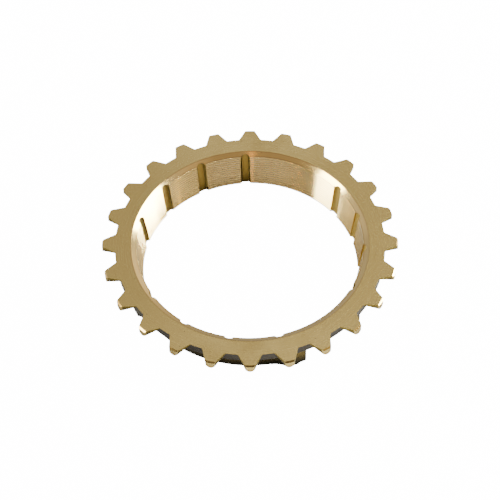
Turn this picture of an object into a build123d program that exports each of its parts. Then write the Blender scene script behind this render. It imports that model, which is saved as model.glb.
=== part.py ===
"""Brass synchronizer ring: a cone ring with a flange of blocker teeth, three key slots and oil grooves.

Millimetres. The hub-side edge of the cone ring stands on the XY plane, the axis is Z, and the toothed
flange faces +Z. One key slot is centred on +Y.
"""
import os
from math import asin, cos, degrees, radians, sin, tan

from build123d import *

# friction cone, which opens towards the flange
cone_mouth_radius = 26.85
cone_half_angle = 6.5
lead_in_width = 1.25
lead_in_depth = 0.6

# whole ring and its flange
ring_height = 9.6
flange_thickness = 2.2
flange_land_width = 3.8
body_wall = 1.7
body_foot_chamfer = 0.15
flange_fillet = 0.4

# blocker teeth
tooth_count = 24
tooth_depth = 3.1
tooth_tip_width = 2.0
tooth_flank_angle = 27.7
tooth_tip_fillet = 0.5
tooth_root_fillet = 0.45
tooth_tip_bevel = 0.35
tooth_roof_angle = 37.0
tooth_ridge_fillet = 0.8

# key slots and the ears that stand beside them
slot_count = 3
slot_width = 12.8
slot_wall = 0.55
slot_foot_relief = 0.4
slot_foot_relief_width = 16.2
slot_corner_fillet = 0.5
ear_height = 1.6
ear_length = 4.5
ear_blend_length = 3.6

# oil grooves in the cone, deepest at its mouth; each row holds the angles of one stretch between
# two slots, counted from the middle of that stretch
groove_width = 2.3
groove_mouth_depth = 0.75
groove_lean = 8.0
groove_floor_chamfer = 0.35
groove_top_land = 0.05
groove_spread = (
    (-35.0, -11.0, 12.4, 36.8),
    (-34.8, -11.6, 12.2, 36.7),
    (-35.6, -10.7, 9.9, 30.2),
)

cut_clearance = 1.0

# places that follow from the sizes above
mouth_height = ring_height - lead_in_depth
cone_foot_radius = cone_mouth_radius - mouth_height * tan(radians(cone_half_angle))
inner_edge_radius = cone_mouth_radius + lead_in_width
root_radius = inner_edge_radius + flange_land_width
tip_radius = root_radius + tooth_depth
body_radius = cone_mouth_radius + body_wall
ear_radius = body_radius + ear_height
slot_floor_radius = cone_mouth_radius + slot_wall
flange_foot = ring_height - flange_thickness
slot_pitch = 360 / slot_count
first_slot = 90


def on_circle(radius, angle):
    """Point at a radius and an angle in degrees."""
    return (radius * cos(radians(angle)), radius * sin(radians(angle)))


# cone ring with the plain flange, turned as one section
with BuildPart() as cone_ring:
    with BuildSketch(Plane.XZ):
        with BuildLine():
            Polyline(
                (cone_foot_radius, 0),
                (body_radius - body_foot_chamfer, 0),
                (body_radius, body_foot_chamfer),
                (body_radius, flange_foot),
                (root_radius, flange_foot),
                (root_radius, ring_height),
                (inner_edge_radius, ring_height),
                (cone_mouth_radius, mouth_height),
                close=True,
            )
        section = make_face()
        inner_corner = section.vertices().sort_by_distance((body_radius, 0, flange_foot))[0]
        fillet(inner_corner, radius=flange_fillet)
    revolve(axis=Axis.Z)

# plan of one tooth on +X, rooted inside the flange
tip_half = tooth_tip_width / 2
base_radius = root_radius - cut_clearance
base_half = tip_half + (tip_radius - base_radius) * tan(radians(tooth_flank_angle))
tip_angle = degrees(asin(tip_half / tip_radius))

with BuildSketch() as tooth_plan:
    with BuildLine():
        flank = Line((base_radius, -base_half), on_circle(tip_radius, -tip_angle))
        tip = ThreePointArc(flank @ 1, (tip_radius, 0), on_circle(tip_radius, tip_angle))
        far_flank = Line(tip @ 1, (base_radius, base_half))
        Line(far_flank @ 1, flank @ 0)
    make_face()

# toothed crown with rounded tip and root corners
with BuildPart() as crown:
    with BuildSketch(Plane.XY.offset(flange_foot)) as crown_plan:
        Circle(root_radius)
        with PolarLocations(0, tooth_count, start_angle=180 / tooth_count):
            add(tooth_plan.sketch)
        corners = crown_plan.vertices().group_by(lambda v: round(Vector(v.X, v.Y).length, 3))
        fillet(corners[-1], radius=tooth_tip_fillet)
        corners = crown_plan.vertices().group_by(lambda v: round(Vector(v.X, v.Y).length, 3))
        fillet(corners[0], radius=tooth_root_fillet)
        Circle(inner_edge_radius, mode=Mode.SUBTRACT)
    extrude(amount=flange_thickness)

    # bevel round the toothed face at the tips
    with BuildSketch(Plane.XZ):
        with BuildLine():
            Polyline(
                (tip_radius - tooth_tip_bevel, ring_height),
                (tip_radius + cut_clearance, ring_height),
                (tip_radius + cut_clearance, ring_height - tooth_tip_bevel - cut_clearance),
                close=True,
            )
        make_face()
    revolve(axis=Axis.Z, mode=Mode.SUBTRACT)

# what is cut from under the teeth so that each points towards the hub, with a rounded ridge
roof_rise = tan(radians(tooth_roof_angle))
roof_half = base_half + tooth_root_fillet
ridge_drop = tooth_ridge_fillet * (1 / cos(radians(tooth_roof_angle)) - 1)
ridge_height = flange_foot - ridge_drop

with BuildPart() as roof_cut:
    with BuildSketch(Plane.YZ.offset(root_radius - cut_clearance)):
        with BuildLine():
            Polyline(
                (0, ridge_height),
                (roof_half, ridge_height + roof_half * roof_rise),
                (roof_half, ridge_height - cut_clearance),
                (-roof_half, ridge_height - cut_clearance),
                (-roof_half, ridge_height + roof_half * roof_rise),
                close=True,
            )
        roof = make_face()
        fillet(roof.vertices().sort_by_distance((0, 0, ridge_height))[0], radius=tooth_ridge_fillet)
    extrude(amount=tooth_depth + 2 * cut_clearance)

with BuildPart() as roof_cuts:
    with PolarLocations(0, tooth_count, start_angle=180 / tooth_count):
        add(roof_cut.part)
    Cylinder(
        root_radius,
        ring_height * 2,
        align=(Align.CENTER, Align.CENTER, Align.CENTER),
        mode=Mode.SUBTRACT,
    )

# ears beside one slot on +X, as one raised band that blends into the cone ring
ear_angle = degrees(asin(slot_width / 2 / ear_radius) + ear_length / ear_radius)
foot_angle = ear_angle + degrees(ear_blend_length / body_radius)
ear_sink = body_wall / 2

with BuildPart() as ear_band:
    with BuildSketch() as ear_plan:
        with BuildLine():
            near_blend = TangentArc(
                on_circle(body_radius, -foot_angle),
                on_circle(ear_radius, -ear_angle),
                tangent=on_circle(1, 90 - foot_angle),
            )
            crest = ThreePointArc(near_blend @ 1, (ear_radius, 0), on_circle(ear_radius, ear_angle))
            far_blend = TangentArc(
                on_circle(body_radius, foot_angle),
                on_circle(ear_radius, ear_angle),
                tangent=on_circle(1, foot_angle - 90),
            )
            inside = Line(far_blend @ 0, on_circle(body_radius - ear_sink, foot_angle))
            back = ThreePointArc(
                inside @ 1,
                (body_radius - ear_sink, 0),
                on_circle(body_radius - ear_sink, -foot_angle),
            )
            Line(back @ 1, near_blend @ 0)
        make_face()
    extrude(amount=flange_foot)

# one slot on +X: a flat-sided groove outside the cone wall, and a shallow relief across its foot
with BuildPart() as slot_cut:
    with BuildSketch(Plane.XY.offset(-cut_clearance)) as slot_plan:
        with Locations((ear_radius, 0)):
            Rectangle(ear_radius, slot_width)
        Circle(slot_floor_radius, mode=Mode.SUBTRACT)
        fillet(slot_plan.vertices().group_by(Axis.X)[0], radius=slot_corner_fillet)
    extrude(amount=flange_foot + cut_clearance)
    with BuildSketch(Plane.XY.offset(-cut_clearance)):
        with Locations((ear_radius, 0)):
            Rectangle(ear_radius, slot_foot_relief_width)
    extrude(amount=slot_foot_relief + cut_clearance)

# one oil groove on +X, a round-ended pocket that runs out through the foot of the cone, with its
# floor corners broken
floor_lean = radians(groove_lean)
groove_plane = Plane(
    origin=(cone_mouth_radius, 0, mouth_height),
    x_dir=(0, 1, 0),
    z_dir=(cos(floor_lean), 0, -sin(floor_lean)),
)
groove_top = (lead_in_depth - groove_top_land) / cos(floor_lean)
groove_run = ring_height + groove_width + cut_clearance

with BuildPart() as groove_cut:
    with BuildSketch(groove_plane.offset(-cut_clearance)):
        with Locations((0, groove_top - groove_run / 2)):
            SlotOverall(groove_run, groove_width, rotation=90)
    extrude(amount=groove_mouth_depth * cos(floor_lean) + cut_clearance)
    floor = groove_cut.faces().sort_by(Axis(groove_plane.origin, groove_plane.z_dir))[-1]
    chamfer(floor.edges(), length=groove_floor_chamfer)

# the finished ring
with BuildPart() as synchronizer_ring:
    add(cone_ring.part)
    with PolarLocations(0, slot_count, start_angle=first_slot):
        add(ear_band.part)
    add(crown.part)
    add(roof_cuts.part, mode=Mode.SUBTRACT)
    with PolarLocations(0, slot_count, start_angle=first_slot):
        add(slot_cut.part, mode=Mode.SUBTRACT)
    for slot, spread in enumerate(groove_spread):
        stretch_middle = first_slot + (slot + 0.5) * slot_pitch
        for offset_angle in spread:
            with Locations(Location((0, 0, 0), (0, 0, stretch_middle + offset_angle))):
                add(groove_cut.part, mode=Mode.SUBTRACT)

os.makedirs("parts", exist_ok=True)
synchronizer_ring.part.label = "synchronizer_ring"
export_step(synchronizer_ring.part, "parts/synchronizer_ring.step")
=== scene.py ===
"""Looks of a brass synchronizer ring: satin turned brass, a fine oil thread in the cone, pale studio."""
from math import atan, ceil, cos, radians, sin, tan

import bpy
from mathutils import Matrix, Vector


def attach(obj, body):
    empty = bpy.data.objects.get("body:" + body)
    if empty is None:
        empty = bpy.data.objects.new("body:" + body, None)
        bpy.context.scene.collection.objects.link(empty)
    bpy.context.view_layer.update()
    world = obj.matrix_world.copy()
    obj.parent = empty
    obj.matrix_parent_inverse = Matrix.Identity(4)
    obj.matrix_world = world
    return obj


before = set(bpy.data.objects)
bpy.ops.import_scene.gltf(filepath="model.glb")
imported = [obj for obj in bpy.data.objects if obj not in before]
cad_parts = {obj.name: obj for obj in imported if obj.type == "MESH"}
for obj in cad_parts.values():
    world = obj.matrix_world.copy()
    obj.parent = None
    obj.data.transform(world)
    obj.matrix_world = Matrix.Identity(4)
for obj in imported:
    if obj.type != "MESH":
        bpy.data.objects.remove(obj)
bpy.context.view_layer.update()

MM = 0.001
BODY = "root"
RING = "synchronizer_ring"

# camera, measured from the ring's own outline: angles in degrees, lens and sensor in millimetres
CAMERA_PLACE = (99.67 * MM, -230.98 * MM, 340.19 * MM)
CAMERA_TURN = 23.346
CAMERA_DOWN = 52.981
CAMERA_ROLL = 1.087
CAMERA_LENS = 126.72
CAMERA_SENSOR = 36
CAMERA_NEAR = 0.01
CAMERA_FAR = 20

# friction cone and its oil grooves, as in the solid
CONE_FOOT_RADIUS = 25.8246 * MM
CONE_MOUTH_RADIUS = 26.85 * MM
CONE_HEIGHT = 9.0 * MM
RING_HEIGHT = 9.6 * MM
CONE_HALF_ANGLE = 6.5
LEAD_IN_WIDTH = 1.25 * MM
LEAD_IN_DEPTH = 0.6 * MM
GROOVE_WIDTH = 2.3 * MM
GROOVE_ANGLES = (
    115.0, 139.0, 162.4, 186.8,
    235.2, 258.4, 282.2, 306.7,
    354.4, 379.3, 399.9, 420.2,
)

# oil thread: over one turn its profile is a share of its depth, from valley to ridge and back; the
# skin's back is seated in the wall, and its valleys are lifted off the wall's flat facets
THREAD_PITCH = 0.687 * MM
THREAD_DEPTH = 0.175 * MM
THREAD_PROFILE = (0.0, 0.62, 1.0, 0.62)
THREAD_SEAT = 0.03 * MM
THREAD_LIFT = 0.03 * MM
THREAD_FOOT_LAND = 0.03 * MM
THREAD_SIDE_GAP = 0.05 * MM
THREAD_STEP = 1.5
MERGE_DISTANCE = 1e-7
SMOOTH_ANGLE = 50


# camera

def add_camera():
    camera_data = bpy.data.cameras.new("camera")
    camera_data.lens = CAMERA_LENS
    camera_data.sensor_width = CAMERA_SENSOR
    camera_data.clip_start = CAMERA_NEAR
    camera_data.clip_end = CAMERA_FAR
    camera = bpy.data.objects.new("camera", camera_data)
    bpy.context.scene.collection.objects.link(camera)
    turn = Matrix.Rotation(radians(CAMERA_TURN), 3, "Z")
    tilt = Matrix.Rotation(radians(90 - CAMERA_DOWN), 3, "X")
    roll = Matrix.Rotation(radians(-CAMERA_ROLL), 3, "Z")
    camera.location = CAMERA_PLACE
    camera.rotation_euler = (turn @ tilt @ roll).to_euler()
    bpy.context.scene.camera = camera


add_camera()


# node helpers

# numbers of a Mix node's sockets, which share their names
MIX_COLOURS = (6, 7)
MIX_COLOUR_OUT = 2
MIX_VECTORS = (4, 5)
MIX_VECTOR_OUT = 1

NUMBER = "NodeSocketFloat"
VECTOR = "NodeSocketVector"


def put(tree, socket, value):
    """Sets an input to a number or colour, or links it to a socket."""
    if isinstance(value, bpy.types.NodeSocket):
        tree.links.new(value, socket)
    else:
        socket.default_value = value


def calc(tree, operation, *values, clamp=False):
    """Sum, product or other function of numbers."""
    node = tree.nodes.new("ShaderNodeMath")
    node.operation = operation
    node.use_clamp = clamp
    for socket, value in zip(node.inputs, values):
        put(tree, socket, value)
    return node.outputs[0]


def calc_vector(tree, operation, *values):
    """Function of vectors; a dot product and a length come out as a number."""
    node = tree.nodes.new("ShaderNodeVectorMath")
    node.operation = operation
    for socket, value in zip(node.inputs, values):
        put(tree, socket, value)
    return node.outputs["Value" if operation in ("DOT_PRODUCT", "LENGTH") else "Vector"]


def ramp(tree, value, low, high, end=1.0):
    """Smooth step of a value: 0 at low, the end at high."""
    node = tree.nodes.new("ShaderNodeMapRange")
    node.interpolation_type = "SMOOTHSTEP"
    put(tree, node.inputs["Value"], value)
    node.inputs["From Min"].default_value = low
    node.inputs["From Max"].default_value = high
    node.inputs["To Max"].default_value = end
    return node.outputs["Result"]


def tint(tree, share, first, second):
    """First colour, mixed with a share of the second."""
    node = tree.nodes.new("ShaderNodeMix")
    node.data_type = "RGBA"
    put(tree, node.inputs["Factor"], share)
    for number, colour in zip(MIX_COLOURS, (first, second)):
        put(tree, node.inputs[number], colour)
    return node.outputs[MIX_COLOUR_OUT]


def noise(tree, vector, scale, detail, roughness=0.5):
    node = tree.nodes.new("ShaderNodeTexNoise")
    put(tree, node.inputs["Vector"], vector)
    put(tree, node.inputs["Scale"], scale)
    node.inputs["Detail"].default_value = detail
    node.inputs["Roughness"].default_value = roughness
    return node.outputs["Fac"]


def join(tree, x, y, z):
    node = tree.nodes.new("ShaderNodeCombineXYZ")
    for socket, value in zip(node.inputs, (x, y, z)):
        put(tree, socket, value)
    return node.outputs[0]


def split(tree, vector):
    node = tree.nodes.new("ShaderNodeSeparateXYZ")
    tree.links.new(vector, node.inputs[0])
    return node.outputs


def object_place(tree):
    return tree.nodes.new("ShaderNodeTexCoord").outputs["Object"]


def camera_ray(tree):
    """1 where the camera sees the surface itself, 0 where light or a reflection meets it."""
    return tree.nodes.new("ShaderNodeLightPath").outputs["Is Camera Ray"]


def mix_shaders(tree, share, first, second):
    node = tree.nodes.new("ShaderNodeMixShader")
    for socket, value in zip(node.inputs, (share, first, second)):
        put(tree, socket, value)
    return node.outputs[0]


def new_material(name):
    material = bpy.data.materials.new(name)
    material.use_nodes = True
    return material, material.node_tree, material.node_tree.nodes["Principled BSDF"]


def new_group(name, inputs, outputs, kind=NUMBER):
    """Group whose inputs are numbers, with its tree, what comes in and what goes out."""
    tree = bpy.data.node_groups.new(name, "ShaderNodeTree")
    for label, value in inputs.items():
        tree.interface.new_socket(label, in_out="INPUT", socket_type=NUMBER).default_value = value
    for label in outputs:
        tree.interface.new_socket(label, in_out="OUTPUT", socket_type=kind)
    return tree, tree.nodes.new("NodeGroupInput").outputs, tree.nodes.new("NodeGroupOutput").inputs


def use_group(tree, group, **values):
    """Outputs of a group that is placed with its own values."""
    node = tree.nodes.new("ShaderNodeGroup")
    node.node_tree = group
    for label, value in values.items():
        put(tree, node.inputs[label.replace("_", " ")], value)
    return node.outputs


# shared effects

# a span runs from where an effect begins to where it is full, and a turn is in degrees
MARKS_DRIFT = 1.5
SPECK_SCALE = 420.0
# how far the painted shade in narrow corners reaches, and its span
HOLLOW_SHADE_REACH = 1.1 * MM
HOLLOW_SHADE_SPAN = (0.9, 0.5)
SCRATCH_SPAN = (0.56, 0.68)
SCRATCH_CLUMP_SPAN = (0.42, 0.60)
BROWN_SIDES_TURN = 205
BROWN_SIDES_SPAN = (0.2, 1.0)


def ring_place_group():
    """Radius and height of a point in millimetres, its turn, and how its face looks out and up."""
    tree, _, out = new_group("ring_place", {}, ("Radius", "Height", "Turn", "Outward", "Upward"))
    place = tree.nodes.new("ShaderNodeTexCoord").outputs
    x, y, z = split(tree, place["Object"])
    normal_x, normal_y, normal_z = split(tree, place["Normal"])
    squares = calc(tree, "ADD", calc(tree, "MULTIPLY", x, x), calc(tree, "MULTIPLY", y, y))
    radius = calc(tree, "SQRT", squares)
    along = calc(tree, "ADD", calc(tree, "MULTIPLY", x, normal_x), calc(tree, "MULTIPLY", y, normal_y))
    put(tree, out["Radius"], calc(tree, "DIVIDE", radius, MM))
    put(tree, out["Height"], calc(tree, "DIVIDE", z, MM))
    put(tree, out["Turn"], calc(tree, "ARCTAN2", y, x))
    put(tree, out["Outward"], calc(tree, "DIVIDE", along, radius))
    put(tree, out["Upward"], normal_z)
    return tree


def turned_marks_group():
    """Fine rings that a lathe leaves, from noise drawn out round the axis."""
    inputs = {"Radius": 0.0, "Height": 0.0, "Turn": 0.0, "Fineness": 9.0}
    tree, inside, out = new_group("turned_marks", inputs, ("Marks",))
    fine = calc(tree, "MULTIPLY", inside["Radius"], inside["Fineness"])
    high = calc(tree, "MULTIPLY", inside["Height"], inside["Fineness"])
    drift = calc(tree, "MULTIPLY", calc(tree, "SINE", inside["Turn"]), MARKS_DRIFT)
    put(tree, out["Marks"], noise(tree, join(tree, fine, high, drift), scale=1.0, detail=3.0, roughness=0.6))
    return tree


def satin_grain_group():
    """Fine even grain, broad stains and a few dark specks."""
    inputs = {"Grain Scale": 5200.0, "Speck Size": 0.1}
    tree, inside, out = new_group("satin_grain", inputs, ("Grain", "Stain", "Specks"))
    place = object_place(tree)
    put(tree, out["Grain"], noise(tree, place, inside["Grain Scale"], detail=3.0))
    put(tree, out["Stain"], noise(tree, place, scale=75.0, detail=4.0, roughness=0.55))
    cells = tree.nodes.new("ShaderNodeTexVoronoi")
    tree.links.new(place, cells.inputs["Vector"])
    cells.inputs["Scale"].default_value = SPECK_SCALE
    put(tree, out["Specks"], calc(tree, "LESS_THAN", cells.outputs["Distance"], inside["Speck Size"]))
    return tree


def edge_wear_and_sheen_group():
    """How much an edge is rubbed bright, which also serves as a painted highlight along it."""
    tree, inside, out = new_group("edge_wear_and_sheen", {"Edge Width": 0.15 * MM, "Sharpness": 3.0}, ("Edge",))
    rounded = tree.nodes.new("ShaderNodeBevel")
    rounded.samples = 6
    tree.links.new(inside["Edge Width"], rounded.inputs["Radius"])
    flat = tree.nodes.new("ShaderNodeNewGeometry").outputs["Normal"]
    bend = calc(tree, "SUBTRACT", 1.0, calc_vector(tree, "DOT_PRODUCT", rounded.outputs[0], flat))
    put(tree, out["Edge"], calc(tree, "MULTIPLY", bend, inside["Sharpness"], clamp=True))
    return tree


def even_lead_in_group():
    """Normal that runs evenly round the lead-in, mixed in by a share."""
    tree, inside, out = new_group("even_lead_in", {"Share": 0.0}, ("Normal",), VECTOR)
    lean = atan(LEAD_IN_DEPTH / LEAD_IN_WIDTH)
    inward = calc_vector(tree, "MULTIPLY", object_place(tree), (-1, -1, 0))
    inward = calc_vector(tree, "NORMALIZE", inward)
    tilted = calc_vector(tree, "MULTIPLY_ADD", inward, (sin(lean), sin(lean), 0), (0, 0, cos(lean)))
    mix = tree.nodes.new("ShaderNodeMix")
    mix.data_type = "VECTOR"
    put(tree, mix.inputs["Factor"], inside["Share"])
    flat = tree.nodes.new("ShaderNodeNewGeometry").outputs["Normal"]
    for number, normal in zip(MIX_VECTORS, (flat, tilted)):
        put(tree, mix.inputs[number], normal)
    put(tree, out["Normal"], mix.outputs[MIX_VECTOR_OUT])
    return tree


def painted_hollow_shade_group():
    """Painted shade: darkening that gathers in narrow corners."""
    tree, _, out = new_group("painted_hollow_shade", {}, ("Painted Shade",))
    hollow = tree.nodes.new("ShaderNodeAmbientOcclusion")
    hollow.samples = 8
    hollow.only_local = True
    hollow.inputs["Distance"].default_value = HOLLOW_SHADE_REACH
    put(tree, out["Painted Shade"], ramp(tree, hollow.outputs["AO"], *HOLLOW_SHADE_SPAN))
    return tree


def fine_scratches_group():
    """Short fine scratches that run round the ring, and a broad brown tone on two opposite sides."""
    inputs = {"Radius": 0.0, "Turn": 0.0, "Amount": 0.5}
    tree, inside, out = new_group("fine_scratches", inputs, ("Scratches", "Brown Sides"))

    def drawn_out(across, along, seed):
        wide = calc(tree, "MULTIPLY", inside["Radius"], across)
        long = calc(tree, "MULTIPLY", inside["Turn"], along)
        return noise(tree, join(tree, wide, long, seed), scale=1.0, detail=2.0)

    lines = ramp(tree, drawn_out(across=3.2, along=6.0, seed=3.0), *SCRATCH_SPAN)
    clumps = ramp(tree, drawn_out(across=0.35, along=3.0, seed=8.0), *SCRATCH_CLUMP_SPAN)
    share = calc(tree, "MULTIPLY", lines, clumps)
    put(tree, out["Scratches"], calc(tree, "MULTIPLY", share, inside["Amount"]))
    aside = calc(tree, "COSINE", calc(tree, "SUBTRACT", inside["Turn"], radians(BROWN_SIDES_TURN)))
    put(tree, out["Brown Sides"], ramp(tree, calc(tree, "ABSOLUTE", aside), *BROWN_SIDES_SPAN))
    return tree


# finishes and painted shade of the ring

# radii and heights in millimetres, each from where a finish or a painted shade begins to where it is full
SUNK_IN_CONE = (0.05, 0.2)
INSIDE = (28.3, 28.2)
OUTSIDE = (28.2, 28.4)
FLANGE_HEIGHT = (7.0, 7.3)
BODY_HEIGHT = (7.3, 7.0)
TIP_RADIUS = (34.5, 34.8)
TIP_BEVEL_RADIUS = (34.5, 34.65)
TIP_BEVEL_HEIGHT = (9.1, 9.2)
TIP_CREAM_HEIGHT = (7.6, 8.7)
FLANK_TOP_HEIGHT = (8.6, 9.1)
LEAD_IN_RADIUS = (28.15, 28.05)
LEAD_IN_HEIGHT = (8.9, 9.0)
MOUTH_LINE_RADIUS = (27.15, 26.95)
FACE_LINE_START = (27.9, 28.0)
FACE_LINE_END = (28.35, 28.2)
GROOVE_FLOOR_SHADE_HEIGHT = (0.2, 2.5)
FOOT_SHADE_HEIGHT = (5.2, 0.2)
EAR_RADIUS = (29.0, 29.8)
VALLEY_LIGHT_RISE = (0.12, 0.03)

# how far a face looks up or outward, from -1 to 1
UPRIGHT = (0.45, 0.2)
UPWARD = (0.6, 0.85)
NOT_UPWARD = (0.6, 0.4)
NOT_DOWNWARD = (-0.9, -0.7)
TIP_BEVEL_LEAN = (0.95, 0.85)
OUTWARD = (0.90, 0.97)
INWARD = (-0.75, -0.95)

# spans of the noise that lays a colour on, and how much of the colour is laid on, from 0 to 1
STAIN_SPAN = (0.42, 0.72)
MARKS_SPAN = (0.35, 0.75)
MARKS_SHARE = 0.2
THREAD_MARKS_SPAN = (0.35, 0.7)
THREAD_MARKS_SHARE = 0.25
LEAD_IN_LINE_SHARE = 0.4
EAR_SHADE_SHARE = 0.6
EDGE_SHARE = 0.2
SPECK_SHARE = 0.5

# streaks of the outside wall, close together round it and drawn out up it
STREAK_SPAN = (0.3, 0.7)
STREAKS_ROUND = 60.0
STREAKS_UP = 0.25

# turn of the side where the grooves are golden and have less painted shade in their corners
GOLD_GROOVE_TURN = 50
GOLD_GROOVE_SPAN = (0.5, 0.95)
CORNER_SHADE_SHARE = 0.8
GOLD_SIDE_SHADE_CHANGE = -0.6

# colours of the brass, of what lies on it, and of painted light and shade
BRASS = (0.72, 0.52, 0.185, 1)
BRASS_WARM = (0.70, 0.46, 0.15, 1)
BRASS_STAIN = (0.55, 0.385, 0.13, 1)
BRASS_BRIGHT = (0.93, 0.78, 0.45, 1)
LEAD_IN_BROWN = (0.66, 0.455, 0.175, 1)
LINE_BROWN = (0.34, 0.20, 0.06, 1)
GROOVE_OLIVE = (0.31, 0.205, 0.055, 1)
GROOVE_GOLD = (0.62, 0.45, 0.14, 1)
GROOVE_SIDE_SHADE = (0.24, 0.165, 0.045, 1)
CONE_BRASS = (0.88, 0.61, 0.275, 1)
THREAD_VALLEY_LIGHT = (1.0, 0.745, 0.345, 1)
INNER_DIM = (0.03, 0.021, 0.009, 1)
DARK_SKIN_AND_SHADE = (0.11, 0.098, 0.105, 1)
BODY_BROWN = (0.60, 0.43, 0.16, 1)
BODY_DARK = (0.34, 0.235, 0.095, 1)
TIP_GOLD = (0.82, 0.52, 0.17, 1)
TIP_CREAM = (0.97, 0.75, 0.33, 1)
BEVEL_BROWN = (0.46, 0.28, 0.085, 1)
FLANK_OLIVE = (0.34, 0.24, 0.06, 1)
# dark of the specks, and of the painted shade in corners and at the foot
SPECK_AND_SHADE_DARK = (0.05, 0.042, 0.035, 1)

# roughness of plain brass, and what the grain, the turned marks and each finish add to it
ROUGHNESS = 0.20
GRAIN_ROUGHNESS = 0.08
MARKS_ROUGHNESS = 0.04
FINISH_ROUGHNESS = {"Lead In": -0.15, "Tip": -0.13, "Tip Bevel": -0.10, "Groove": 0.12}
FLANK_ROUGHNESS = 0.1
THREAD_ROUGHNESS = 0.21

RELIEF_STRENGTH = 0.18
RELIEF_DEPTH = 0.04 * MM


def cone_radius_at(tree, height):
    """Radius of the bare cone at a height, in millimetres."""
    return calc(tree, "MULTIPLY_ADD", height, tan(radians(CONE_HALF_ANGLE)), CONE_FOOT_RADIUS / MM)


def ring_zones_group():
    """Which finish or painted shade a point of the ring belongs to, each as a share from 0 to 1."""
    zones = (
        "Groove", "Groove Floor", "Lead In", "Lead In Lines", "Tip", "Tip Bevel", "Flange Wall",
        "Flank", "Flank Top", "Body", "Foot Shade",
    )
    inputs = {"Radius": 0.0, "Height": 0.0, "Outward": 0.0, "Upward": 0.0}
    tree, inside, out = new_group("ring_zones", inputs, zones)
    radius, height = inside["Radius"], inside["Height"]
    outward, upward = inside["Outward"], inside["Upward"]

    def both(*shares):
        product = shares[0]
        for share in shares[1:]:
            product = calc(tree, "MULTIPLY", product, share)
        return product

    sunk = ramp(tree, calc(tree, "SUBTRACT", radius, cone_radius_at(tree, height)), *SUNK_IN_CONE)
    groove = both(
        sunk, ramp(tree, radius, *INSIDE), ramp(tree, upward, *NOT_UPWARD), ramp(tree, upward, *NOT_DOWNWARD),
    )
    outside = both(ramp(tree, upward, *UPRIGHT), ramp(tree, radius, *OUTSIDE))
    flange = both(outside, ramp(tree, height, *FLANGE_HEIGHT))
    tip = both(flange, ramp(tree, radius, *TIP_RADIUS))
    lead_in = both(
        ramp(tree, radius, *LEAD_IN_RADIUS), ramp(tree, height, *LEAD_IN_HEIGHT), ramp(tree, upward, *UPWARD),
    )
    # a fine line on each side of the lead-in
    mouth_line = both(lead_in, ramp(tree, radius, *MOUTH_LINE_RADIUS))
    face_line = both(
        ramp(tree, upward, *UPWARD), ramp(tree, radius, *FACE_LINE_START), ramp(tree, radius, *FACE_LINE_END),
    )
    values = (
        groove,
        both(ramp(tree, outward, *INWARD), ramp(tree, height, *GROOVE_FLOOR_SHADE_HEIGHT)),
        lead_in,
        calc(tree, "MULTIPLY", calc(tree, "ADD", face_line, mouth_line), LEAD_IN_LINE_SHARE),
        tip,
        both(
            ramp(tree, radius, *TIP_BEVEL_RADIUS), ramp(tree, upward, *TIP_BEVEL_LEAN),
            ramp(tree, height, *TIP_BEVEL_HEIGHT),
        ),
        both(flange, ramp(tree, outward, *OUTWARD), calc(tree, "SUBTRACT", 1.0, tip)),
        flange,
        ramp(tree, height, *FLANK_TOP_HEIGHT),
        both(outside, ramp(tree, height, *BODY_HEIGHT)),
        ramp(tree, height, *FOOT_SHADE_HEIGHT),
    )
    for zone, value in zip(zones, values):
        put(tree, out[zone], value)
    return tree


RING_PLACE = ring_place_group()
TURNED_MARKS = turned_marks_group()
SATIN_GRAIN = satin_grain_group()
EDGE_WEAR_AND_SHEEN = edge_wear_and_sheen_group()
EVEN_LEAD_IN = even_lead_in_group()
PAINTED_HOLLOW_SHADE = painted_hollow_shade_group()
FINE_SCRATCHES = fine_scratches_group()
RING_ZONES = ring_zones_group()


# materials

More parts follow.
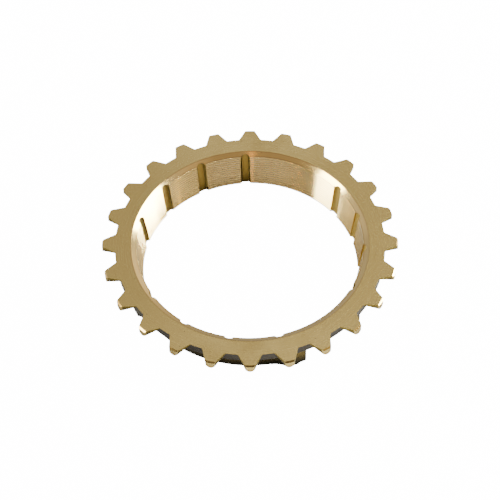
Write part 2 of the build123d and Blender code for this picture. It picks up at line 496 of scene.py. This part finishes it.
def brass_material():
    material, tree, shader = new_material("satin_brass")
    place = use_group(tree, RING_PLACE)
    radius, height, turn = place["Radius"], place["Height"], place["Turn"]
    zone = use_group(
        tree, RING_ZONES, Radius=radius, Height=height, Outward=place["Outward"], Upward=place["Upward"],
    )
    marks = use_group(tree, TURNED_MARKS, Radius=radius, Height=height, Turn=turn, Fineness=7.0)["Marks"]
    grain = use_group(tree, SATIN_GRAIN, Grain_Scale=5200.0, Speck_Size=0.06)
    edge = use_group(tree, EDGE_WEAR_AND_SHEEN, Edge_Width=0.06 * MM, Sharpness=2.0)["Edge"]
    wear = use_group(tree, FINE_SCRATCHES, Radius=radius, Turn=turn, Amount=0.22)
    corner_shade = use_group(tree, PAINTED_HOLLOW_SHADE)["Painted Shade"]

    # toothed face and lead-in
    colour = tint(tree, ramp(tree, grain["Stain"], *STAIN_SPAN), BRASS, BRASS_STAIN)
    colour = tint(tree, ramp(tree, marks, *MARKS_SPAN, MARKS_SHARE), colour, BRASS_WARM)
    colour = tint(tree, wear["Brown Sides"], colour, BRASS_STAIN)
    colour = tint(tree, wear["Scratches"], colour, LINE_BROWN)
    colour = tint(tree, zone["Lead In"], colour, LEAD_IN_BROWN)
    colour = tint(tree, zone["Lead In Lines"], colour, LINE_BROWN)
    colour = tint(tree, zone["Tip Bevel"], colour, BEVEL_BROWN)

    # oil grooves
    gold_side = calc(tree, "COSINE", calc(tree, "SUBTRACT", turn, radians(GOLD_GROOVE_TURN)))
    gold_side = ramp(tree, gold_side, *GOLD_GROOVE_SPAN)
    groove_floor = tint(tree, gold_side, GROOVE_OLIVE, GROOVE_GOLD)
    # the grooves' sides, and their floor low down near the foot, take the darker side colour: painted shade
    groove_side_shade = tint(tree, gold_side, GROOVE_SIDE_SHADE, GROOVE_GOLD)
    groove = tint(tree, zone["Groove Floor"], groove_side_shade, groove_floor)
    # painted shade in the grooves' corners, with less of it on the golden side
    shaded_corners = calc(tree, "MULTIPLY", corner_shade, calc(tree, "MULTIPLY_ADD", gold_side, GOLD_SIDE_SHADE_CHANGE, CORNER_SHADE_SHARE))
    colour = tint(tree, zone["Groove"], colour, tint(tree, shaded_corners, groove, SPECK_AND_SHADE_DARK))

    # teeth and outside wall
    # tooth flanks are olive near the top and take the flange's dark skin lower down, which also stands in for
    # the shade there
    colour = tint(tree, zone["Flank"], colour, tint(tree, zone["Flank Top"], DARK_SKIN_AND_SHADE, FLANK_OLIVE))
    colour = tint(tree, zone["Flange Wall"], colour, DARK_SKIN_AND_SHADE)
    tip = tint(tree, ramp(tree, height, *TIP_CREAM_HEIGHT), TIP_GOLD, TIP_CREAM)
    colour = tint(tree, zone["Tip"], colour, tip)
    round_ring = calc(tree, "MULTIPLY", turn, STREAKS_ROUND)
    up_wall = calc(tree, "MULTIPLY", height, STREAKS_UP)
    streaks = noise(tree, join(tree, round_ring, up_wall, 0.0), scale=1.0, detail=3.0, roughness=0.6)
    body = tint(tree, ramp(tree, streaks, *STREAK_SPAN), BODY_BROWN, BODY_DARK)
    # the ears under the flange are darkened: painted shade
    body = tint(tree, ramp(tree, radius, *EAR_RADIUS, EAR_SHADE_SHARE), body, GROOVE_SIDE_SHADE)
    # the outside wall goes dark towards the foot: painted shade
    colour = tint(tree, zone["Body"], colour, tint(tree, zone["Foot Shade"], body, SPECK_AND_SHADE_DARK))

    # wear: edges rubbed bright, which doubles as a painted edge highlight, and dark specks
    colour = tint(tree, calc(tree, "MULTIPLY", edge, EDGE_SHARE), colour, BRASS_BRIGHT)
    colour = tint(tree, calc(tree, "MULTIPLY", grain["Specks"], SPECK_SHARE), colour, SPECK_AND_SHADE_DARK)

    # the inner side is dimmer in light that crosses the ring than it is to the camera
    across = calc(tree, "MULTIPLY", zone["Groove"], calc(tree, "SUBTRACT", 1.0, gold_side))
    across = calc(tree, "ADD", across, zone["Lead In"], clamp=True)
    across = calc(tree, "MULTIPLY", across, calc(tree, "SUBTRACT", 1.0, camera_ray(tree)))
    put(tree, shader.inputs["Base Color"], tint(tree, across, colour, INNER_DIM))
    shader.inputs["Metallic"].default_value = 1.0

    rough = calc(tree, "MULTIPLY_ADD", grain["Grain"], GRAIN_ROUGHNESS, ROUGHNESS)
    rough = calc(tree, "MULTIPLY_ADD", marks, MARKS_ROUGHNESS, rough)
    for finish, change in FINISH_ROUGHNESS.items():
        rough = calc(tree, "MULTIPLY_ADD", zone[finish], change, rough)
    flank = calc(tree, "MULTIPLY", zone["Flank"], calc(tree, "SUBTRACT", 1.0, zone["Tip"]))
    put(tree, shader.inputs["Roughness"], calc(tree, "MULTIPLY_ADD", flank, FLANK_ROUGHNESS, rough))

    relief = calc(tree, "ADD", grain["Grain"], marks)
    relief = calc(tree, "MULTIPLY", relief, calc(tree, "SUBTRACT", 1.0, zone["Lead In"]))
    bump = tree.nodes.new("ShaderNodeBump")
    bump.inputs["Strength"].default_value = RELIEF_STRENGTH
    bump.inputs["Distance"].default_value = RELIEF_DEPTH
    put(tree, bump.inputs["Height"], relief)
    put(tree, bump.inputs["Normal"], use_group(tree, EVEN_LEAD_IN, Share=zone["Lead In"])["Normal"])
    put(tree, shader.inputs["Normal"], bump.outputs[0])
    return material


def thread_material():
    material, tree, shader = new_material("threaded_brass")
    place = use_group(tree, RING_PLACE)
    height, turn = place["Height"], place["Turn"]
    marks = use_group(tree, TURNED_MARKS, Radius=0.0, Height=height, Turn=turn, Fineness=3.0)["Marks"]
    marks = ramp(tree, marks, *THREAD_MARKS_SPAN, THREAD_MARKS_SHARE)
    colour = tint(tree, marks, CONE_BRASS, BRASS_WARM)
    # the thread's valleys are painted lighter than its ridges, to offset the shade that the dimmed flanks
    # beside them give
    rise = calc(tree, "SUBTRACT", cone_radius_at(tree, height), place["Radius"])
    colour = tint(tree, ramp(tree, rise, *VALLEY_LIGHT_RISE), colour, THREAD_VALLEY_LIGHT)
    # the cone is dimmer in light that crosses the ring than it is to the camera
    put(tree, shader.inputs["Base Color"], tint(tree, camera_ray(tree), INNER_DIM, colour))
    shader.inputs["Metallic"].default_value = 1.0
    shader.inputs["Roughness"].default_value = THREAD_ROUGHNESS
    # light is drawn out across the thread, up and down the cone
    shader.inputs["Anisotropic"].default_value = 1.0
    put(tree, shader.inputs["Tangent"], join(tree, 0.0, 0.0, 1.0))
    return material


SATIN_BRASS = brass_material()
THREADED_BRASS = thread_material()
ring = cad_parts[RING]
for slot in ring.material_slots:
    slot.material = SATIN_BRASS


# oil thread

def thread_sector(number, start, end):
    """Skin with the thread's ridges between two oil grooves, spun from a notched strip."""
    turns = int((CONE_HEIGHT - THREAD_FOOT_LAND) / THREAD_PITCH)
    rows = len(THREAD_PROFILE) * turns
    length = turns * THREAD_PITCH
    lean = (CONE_MOUTH_RADIUS - CONE_FOOT_RADIUS) / CONE_HEIGHT
    bpy.ops.object.select_all(action="DESELECT")
    bpy.ops.mesh.primitive_grid_add(x_subdivisions=1, y_subdivisions=rows, size=1)
    piece = bpy.context.object
    piece.name = f"oil_thread_{number:02d}"
    piece.data.name = piece.name
    # the strip stands upright at the sector's end: back edge just inside the wall, front edge notched
    for vertex in piece.data.vertices:
        row = round((vertex.co.y + 0.5) * rows)
        height = THREAD_FOOT_LAND + row / rows * length
        wall = CONE_FOOT_RADIUS + lean * height
        if vertex.co.x > 0:
            radius = wall + THREAD_SEAT
        else:
            radius = wall - THREAD_LIFT - THREAD_DEPTH * THREAD_PROFILE[row % len(THREAD_PROFILE)]
        vertex.co = (radius * cos(end), radius * sin(end), height)
    bpy.ops.object.mode_set(mode="EDIT")
    bpy.ops.mesh.select_all(action="SELECT")
    steps = ceil((end - start) / radians(THREAD_STEP))
    # spin turns clockwise seen from above, so the strip is drawn back to the sector's start
    bpy.ops.mesh.spin(steps=steps, angle=end - start, center=(0, 0, 0), axis=(0, 0, 1), dupli=False)
    bpy.ops.mesh.select_all(action="SELECT")
    bpy.ops.mesh.remove_doubles(threshold=MERGE_DISTANCE)
    bpy.ops.mesh.normals_make_consistent(inside=False)
    bpy.ops.object.mode_set(mode="OBJECT")
    bpy.ops.object.shade_smooth_by_angle(angle=radians(SMOOTH_ANGLE))
    piece.data.materials.append(THREADED_BRASS)
    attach(piece, BODY)


half_groove = (GROOVE_WIDTH / 2 + THREAD_SIDE_GAP) / CONE_FOOT_RADIUS
following_angles = GROOVE_ANGLES[1:] + (GROOVE_ANGLES[0] + 360,)
for number, (angle, following) in enumerate(zip(GROOVE_ANGLES, following_angles), start=1):
    thread_sector(number, radians(angle) + half_groove, radians(following) - half_groove)


# studio

CREAM = (0.94, 1.0, 0.84)
AMBER = (1.0, 0.50, 0.12)

# azimuth from the camera's right, elevation and roll in degrees; distance, width and height in metres;
# power in watts; colour
SOFTBOXES = {
    "softbox_left_top": (176.6, 49.4, 32.3, 0.731, 0.16, 0.42, 7.3, CREAM),
    "softbox_left_foot": (194.8, 19.3, 21.6, 0.731, 0.30, 0.42, 13.7, CREAM),
    "softbox_right": (18.5, 27, -20, 0.7, 0.30, 0.75, 47.0, CREAM),
    "softbox_low": (9, 6, 0, 0.7, 0.60, 0.15, 36.0, CREAM),
    "strip_front": (266.6, 10, 0, 0.7, 0.012, 0.27, 0.045, AMBER),
    "strip_above": (262.5, 76, 0, 0.7, 0.014, 0.12, 0.03, AMBER),
}

# floor, in metres: a glowing white to the camera, and in reflections a dull grey, painted paler inside the
# ring as light and darker outside it as shadow
FLOOR_SIZE = 8
FLOOR_WHITE = (0.85, 0.85, 0.85, 1)
FLOOR_ROUGHNESS = 0.9
FLOOR_GLOW = 17.0
FLOOR_GLOW_SHARE = 0.9
FLOOR_SHADOW_GREY = (0.16, 0.148, 0.132, 1)
FLOOR_LIT_GREY = (0.26, 0.231, 0.193, 1)
FLOOR_LIT_SPAN = (30 * MM, 26 * MM)

# studio round the ring: a low even level, and lobes that each have a direction with x to the camera's
# right, the cosines where they begin and are full, and a strength or a colour cast
STUDIO_LEVEL = 0.11
STUDIO_LOBES = (
    ((0, 0.25, 1), 0.55, 0.95, 0.42),
    ((0, 0.75, 0.7), 0.2, 0.95, 0.05),
    ((0.8, 0.55, 0.2), 0.7, 1.0, 0.8),
    ((0.51, 0.757, 0.407), 0.966, 1.0, 0.6),
    ((-0.86, 0.5, -0.05), 0.65, 1.0, 0.75),
    ((-0.65, 0.30, 0.70), 0.93, 0.995, 0.35),
    ((0, 1, 0), 0.6, 1.0, 0.5),
    ((0.47, 0, 0.883), 0.95, 1.0, 0.28),
    ((-0.867, 0.404, 0.292), 0.77, 1.0, 0.3),
    ((-0.949, 0.237, 0.208), 0.85, 1.0, 0.85),
    ((0.6, -0.75, 0), 0.6, 1.0, 0.2),
    ((-0.4, -0.9, 0), 0.6, 1.0, 0.25),
    ((0.81, -0.38, 0.45), 0.88, 0.99, 0.75),
    ((-0.94, 0.13, 0.32), 0.9, 0.99, 0.8),
    ((-0.34, -0.94, 0.09), 0.86, 1.0, 0.35),
    ((0.34, -0.94, 0.09), 0.86, 1.0, 0.35),
)
STUDIO_CASTS = (
    ((0, 1, 0), 0.6, 1.0, (0.9, 0.94, 1.07, 1)),
    ((-0.86, 0.5, -0.05), 0.78, 0.95, (0.79, 1.13, 1.95, 1)),
    ((0.62, 0.78, 0.05), 0.8, 0.95, (1.0, 0.93, 0.8, 1)),
    ((0, 0, 1), 0.82, 0.93, (1.0, 0.86, 0.68, 1)),
    ((0.81, -0.38, 0.45), 0.85, 0.95, (1.0, 0.97, 0.68, 1)),
    ((-0.94, 0.13, 0.32), 0.9, 0.97, (1.0, 0.97, 0.68, 1)),
)
PLAIN_WHITE = (1, 1, 1, 1)
BACKDROP_WHITE = (16, 16, 16, 1)


def add_softbox(name, azimuth, elevation, roll, distance, width, height, power, colour):
    """Studio light at an azimuth and elevation seen from the camera's side, facing the ring."""
    data = bpy.data.lights.new(name, "AREA")
    data.shape = "RECTANGLE"
    data.size, data.size_y = width, height
    data.energy = power
    data.color = colour
    light = bpy.data.objects.new(name, data)
    bpy.context.scene.collection.objects.link(light)
    turn = radians(azimuth + CAMERA_TURN)
    rise = radians(elevation)
    away = Vector((cos(turn) * cos(rise), sin(turn) * cos(rise), sin(rise)))
    light.location = away * distance + Vector((0, 0, RING_HEIGHT / 2))
    facing = away.to_track_quat("Z", "Y").to_matrix() @ Matrix.Rotation(radians(roll), 3, "Z")
    light.rotation_euler = facing.to_euler()


def pale_floor():
    """Floor that is white to the camera and darker in the ring's reflections."""
    bpy.ops.mesh.primitive_plane_add(size=FLOOR_SIZE, location=(0, 0, 0))
    floor = bpy.context.object
    floor.name = "floor"
    material, tree, shader = new_material("pale_floor")
    shader.inputs["Base Color"].default_value = FLOOR_WHITE
    shader.inputs["Roughness"].default_value = FLOOR_ROUGHNESS
    glow = tree.nodes.new("ShaderNodeEmission")
    glow.inputs["Strength"].default_value = FLOOR_GLOW
    bright = mix_shaders(tree, FLOOR_GLOW_SHARE, shader.outputs[0], glow.outputs[0])
    dark = tree.nodes.new("ShaderNodeBsdfDiffuse")
    # painted light on the floor inside the ring, painted shadow outside it
    inner = ramp(tree, calc_vector(tree, "LENGTH", object_place(tree)), *FLOOR_LIT_SPAN)
    put(tree, dark.inputs["Color"], tint(tree, inner, FLOOR_SHADOW_GREY, FLOOR_LIT_GREY))
    surface = mix_shaders(tree, camera_ray(tree), dark.outputs[0], bright)
    tree.links.new(surface, tree.nodes["Material Output"].inputs["Surface"])
    floor.data.materials.append(material)


def pale_world():
    """Grey studio that is brighter behind the ring, and white where the camera sees it."""
    world = bpy.data.worlds.new("studio")
    bpy.context.scene.world = world
    world.use_nodes = True
    tree = world.node_tree
    aim = tree.nodes.new("ShaderNodeMapping")
    aim.vector_type = "POINT"
    aim.inputs["Rotation"].default_value = (0, 0, radians(-CAMERA_TURN))
    tree.links.new(tree.nodes.new("ShaderNodeTexCoord").outputs["Generated"], aim.inputs["Vector"])

    def lobe(direction, low, high, strength=1.0):
        cosine = calc_vector(tree, "DOT_PRODUCT", aim.outputs[0], Vector(direction).normalized())
        return ramp(tree, cosine, low, high, strength)

    level = STUDIO_LEVEL
    for placing in STUDIO_LOBES:
        level = calc(tree, "ADD", level, lobe(*placing))
    cast = PLAIN_WHITE
    for direction, low, high, colour in STUDIO_CASTS:
        cast = tint(tree, lobe(direction, low, high), cast, colour)
    studio = tree.nodes["Background"]
    put(tree, studio.inputs["Strength"], level)
    put(tree, studio.inputs["Color"], cast)
    backdrop = tree.nodes.new("ShaderNodeBackground")
    backdrop.inputs["Color"].default_value = BACKDROP_WHITE
    surface = mix_shaders(tree, camera_ray(tree), studio.outputs[0], backdrop.outputs[0])
    tree.links.new(surface, tree.nodes["World Output"].inputs["Surface"])


for name, placing in SOFTBOXES.items():
    add_softbox(name, *placing)
pale_floor()
pale_world()
